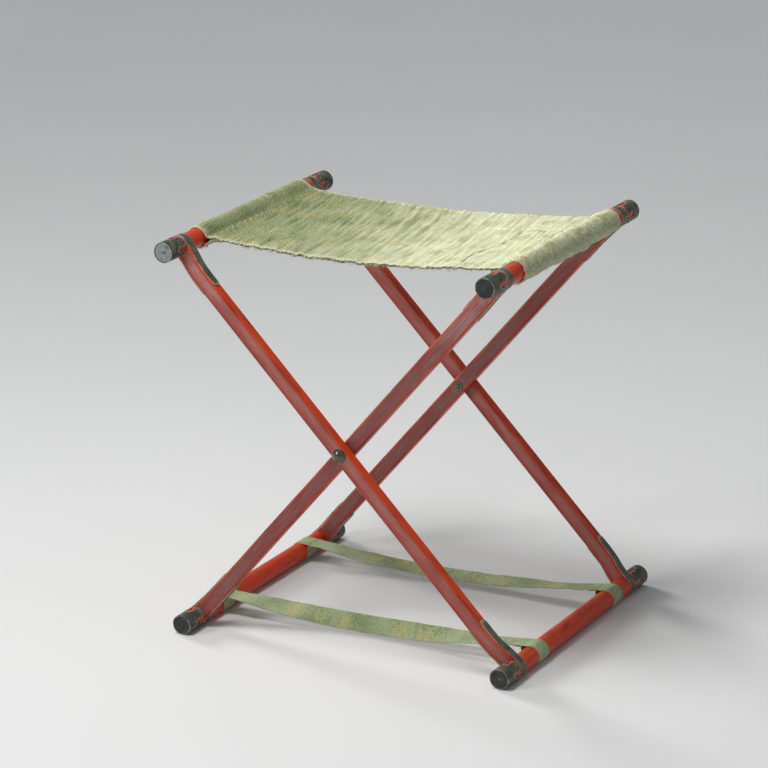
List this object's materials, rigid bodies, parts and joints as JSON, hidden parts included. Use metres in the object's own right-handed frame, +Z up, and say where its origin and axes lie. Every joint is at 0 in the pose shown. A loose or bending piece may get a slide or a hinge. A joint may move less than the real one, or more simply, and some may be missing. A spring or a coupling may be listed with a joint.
{
  "type": "folding stool",
  "caption": "Folding camp stool with crossed red-lacquered wooden frames turning on rivets, round rails with dark metal caps, and a green brocade seat slung between the top rails.",
  "frame": {"origin": "on the floor, below the middle of the open stool", "axes": "+Z up, +X across the stool from the left rails to the right rails, +Y along the rails from front to back"},
  "size_m": [0.4222, 0.35, 0.4552],
  "materials": {
    "red_lacquer": "red lacquer over wood, semi-gloss, rubbed brown along the edges",
    "cap_metal": "blackened sheet metal, satin, worn to brass colour at the rim",
    "strap_metal": "blackened sheet metal, satin",
    "rivet_metal": "blackened metal, polished on the dome",
    "nail_metal": "blackened metal",
    "seat_brocade": "sage green silk brocade with small gold motifs, soft sheen",
    "tie_brocade": "sage green silk brocade, folded to a narrow strap"
  },
  "bodies": {
    "outer_frame": {"rail_top_left": "red_lacquer", "cap_sleeve_top_left_front": "cap_metal", "cap_disc_top_left_front": "cap_metal", "leg_strap_top_left_front": "strap_metal", "cap_sleeve_top_left_back": "cap_metal", "cap_disc_top_left_back": "cap_metal", "leg_strap_top_left_back": "strap_metal", "rail_floor_right": "red_lacquer", "cap_sleeve_floor_right_front": "cap_metal", "cap_disc_floor_right_front": "cap_metal", "leg_strap_floor_right_front": "strap_metal", "cap_sleeve_floor_right_back": "cap_metal", "cap_disc_floor_right_back": "cap_metal", "leg_strap_floor_right_back": "strap_metal", "leg_outer_front": "red_lacquer", "leg_outer_back": "red_lacquer", "disc_nails_outer": "nail_metal", "cap_nails_outer": "nail_metal", "strap_nails_outer": "nail_metal", "pivot_rivet_front": "rivet_metal", "pivot_washer_front": "rivet_metal", "tie_loop_front_right": "tie_brocade", "floor_tie_front": "tie_brocade", "pivot_rivet_back": "rivet_metal", "pivot_washer_back": "rivet_metal", "tie_loop_back_right": "tie_brocade", "floor_tie_back": "tie_brocade", "seat_sleeve_left": "seat_brocade", "seat_panel": "seat_brocade"},
    "inner_frame": {"rail_top_right": "red_lacquer", "cap_sleeve_top_right_front": "cap_metal", "cap_disc_top_right_front": "cap_metal", "leg_strap_top_right_front": "strap_metal", "cap_sleeve_top_right_back": "cap_metal", "cap_disc_top_right_back": "cap_metal", "leg_strap_top_right_back": "strap_metal", "rail_floor_left": "red_lacquer", "cap_sleeve_floor_left_front": "cap_metal", "cap_disc_floor_left_front": "cap_metal", "leg_strap_floor_left_front": "strap_metal", "cap_sleeve_floor_left_back": "cap_metal", "cap_disc_floor_left_back": "cap_metal", "leg_strap_floor_left_back": "strap_metal", "leg_inner_front": "red_lacquer", "leg_inner_back": "red_lacquer", "disc_nails_inner": "nail_metal", "cap_nails_inner": "nail_metal", "strap_nails_inner": "nail_metal", "tie_loop_front_left": "tie_brocade", "tie_loop_back_left": "tie_brocade", "seat_sleeve_right": "seat_brocade"}
  },
  "joints": [
    {"name": "fold", "type": "hinge", "parent": "outer_frame", "child": "inner_frame", "pos_m": [0, 0, 0.22901], "axis": [0, -1, 0], "range_deg": [0, 77.5], "deforming": ["seat_panel", "floor_tie_front", "floor_tie_back"]}
  ]
}
